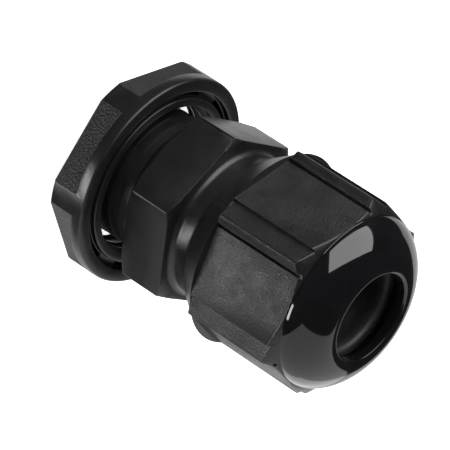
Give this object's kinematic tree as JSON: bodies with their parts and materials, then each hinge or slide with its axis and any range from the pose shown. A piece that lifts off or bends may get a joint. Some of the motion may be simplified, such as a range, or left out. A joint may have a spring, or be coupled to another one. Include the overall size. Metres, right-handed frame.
{
  "type": "cable gland",
  "caption": "Black nylon cable gland with threaded entry, spanner hexagon, domed sealing nut over a claw and rubber insert, and a flanged hexagon locknut.",
  "frame": {"origin": "on the cable axis, in the body hexagon's face that seals on the panel", "axes": "+Z along the cable axis towards the dome nut's mouth; +X and +Y across it, through a claw finger each"},
  "size_m": [0.0288, 0.0288, 0.0413],
  "materials": {
    "nylon_satin": "satin",
    "nylon_gloss": "gloss",
    "nylon_spark": "matte",
    "rubber": "matte"
  },
  "bodies": {
    "gland_body": {"gland_body": "nylon_satin"},
    "insert": {"sealing_insert": "rubber"},
    "dome_nut": {"dome_nut": "nylon_gloss"},
    "locknut": {"locknut": "nylon_spark"},
    "claw_finger_01": {"claw_finger_01": "nylon_satin"},
    "claw_finger_02": {"claw_finger_02": "nylon_satin"},
    "claw_finger_03": {"claw_finger_03": "nylon_satin"},
    "claw_finger_04": {"claw_finger_04": "nylon_satin"},
    "claw_finger_05": {"claw_finger_05": "nylon_satin"},
    "claw_finger_06": {"claw_finger_06": "nylon_satin"},
    "claw_finger_07": {"claw_finger_07": "nylon_satin"},
    "claw_finger_08": {"claw_finger_08": "nylon_satin"},
    "claw_finger_09": {"claw_finger_09": "nylon_satin"},
    "claw_finger_10": {"claw_finger_10": "nylon_satin"},
    "claw_finger_11": {"claw_finger_11": "nylon_satin"},
    "claw_finger_12": {"claw_finger_12": "nylon_satin"}
  },
  "joints": [
    {"name": "nut_travel", "type": "slide", "parent": "gland_body", "child": "insert", "axis": [0, 0, -1], "range_m": [0, 0.003], "deforming": ["sealing_insert"]},
    {"name": "dome_nut_turn", "type": "hinge", "parent": "insert", "child": "dome_nut", "pos_m": [0, 0, 0.02], "axis": [0, 0, -1], "range_deg": [0, 720]},
    {"name": "locknut_travel", "type": "slide", "parent": "gland_body", "child": "locknut", "axis": [0, 0, 1], "range_m": [-0.0058, 0.0031]},
    {"name": "claw_finger_01_bend", "type": "hinge", "parent": "gland_body", "child": "claw_finger_01", "pos_m": [0.0089, 0, 0.0182], "axis": [0, -1, 0], "range_deg": [0, 13.2]},
    {"name": "claw_finger_02_bend", "type": "hinge", "parent": "gland_body", "child": "claw_finger_02", "pos_m": [0.00771, 0.00445, 0.0182], "axis": [0.5, -0.866, 0], "range_deg": [0, 13.2]},
    {"name": "claw_finger_03_bend", "type": "hinge", "parent": "gland_body", "child": "claw_finger_03", "pos_m": [0.00445, 0.00771, 0.0182], "axis": [0.866, -0.5, 0], "range_deg": [0, 13.2]},
    {"name": "claw_finger_04_bend", "type": "hinge", "parent": "gland_body", "child": "claw_finger_04", "pos_m": [0, 0.0089, 0.0182], "axis": [1, 0, 0], "range_deg": [0, 13.2]},
    {"name": "claw_finger_05_bend", "type": "hinge", "parent": "gland_body", "child": "claw_finger_05", "pos_m": [-0.00445, 0.00771, 0.0182], "axis": [0.866, 0.5, 0], "range_deg": [0, 13.2]},
    {"name": "claw_finger_06_bend", "type": "hinge", "parent": "gland_body", "child": "claw_finger_06", "pos_m": [-0.00771, 0.00445, 0.0182], "axis": [0.5, 0.866, 0], "range_deg": [0, 13.2]},
    {"name": "claw_finger_07_bend", "type": "hinge", "parent": "gland_body", "child": "claw_finger_07", "pos_m": [-0.0089, 0, 0.0182], "axis": [0, 1, 0], "range_deg": [0, 13.2]},
    {"name": "claw_finger_08_bend", "type": "hinge", "parent": "gland_body", "child": "claw_finger_08", "pos_m": [-0.00771, -0.00445, 0.0182], "axis": [-0.5, 0.866, 0], "range_deg": [0, 13.2]},
    {"name": "claw_finger_09_bend", "type": "hinge", "parent": "gland_body", "child": "claw_finger_09", "pos_m": [-0.00445, -0.00771, 0.0182], "axis": [-0.866, 0.5, 0], "range_deg": [0, 13.2]},
    {"name": "claw_finger_10_bend", "type": "hinge", "parent": "gland_body", "child": "claw_finger_10", "pos_m": [0, -0.0089, 0.0182], "axis": [-1, 0, 0], "range_deg": [0, 13.2]},
    {"name": "claw_finger_11_bend", "type": "hinge", "parent": "gland_body", "child": "claw_finger_11", "pos_m": [0.00445, -0.00771, 0.0182], "axis": [-0.866, -0.5, 0], "range_deg": [0, 13.2]},
    {"name": "claw_finger_12_bend", "type": "hinge", "parent": "gland_body", "child": "claw_finger_12", "pos_m": [0.00771, -0.00445, 0.0182], "axis": [-0.5, -0.866, 0], "range_deg": [0, 13.2]}
  ],
  "couplings": [
    {"joint": "nut_travel", "follows": "dome_nut_turn", "m_per_rad": 0.00023873},
    {"joint": "claw_finger_01_bend", "follows": "dome_nut_turn", "ratio": 0.018056},
    {"joint": "claw_finger_02_bend", "follows": "dome_nut_turn", "ratio": 0.018056},
    {"joint": "claw_finger_03_bend", "follows": "dome_nut_turn", "ratio": 0.018056},
    {"joint": "claw_finger_04_bend", "follows": "dome_nut_turn", "ratio": 0.018056},
    {"joint": "claw_finger_05_bend", "follows": "dome_nut_turn", "ratio": 0.018056},
    {"joint": "claw_finger_06_bend", "follows": "dome_nut_turn", "ratio": 0.018056},
    {"joint": "claw_finger_07_bend", "follows": "dome_nut_turn", "ratio": 0.018056},
    {"joint": "claw_finger_08_bend", "follows": "dome_nut_turn", "ratio": 0.018056},
    {"joint": "claw_finger_09_bend", "follows": "dome_nut_turn", "ratio": 0.018056},
    {"joint": "claw_finger_10_bend", "follows": "dome_nut_turn", "ratio": 0.018056},
    {"joint": "claw_finger_11_bend", "follows": "dome_nut_turn", "ratio": 0.018056},
    {"joint": "claw_finger_12_bend", "follows": "dome_nut_turn", "ratio": 0.018056}
  ]
}
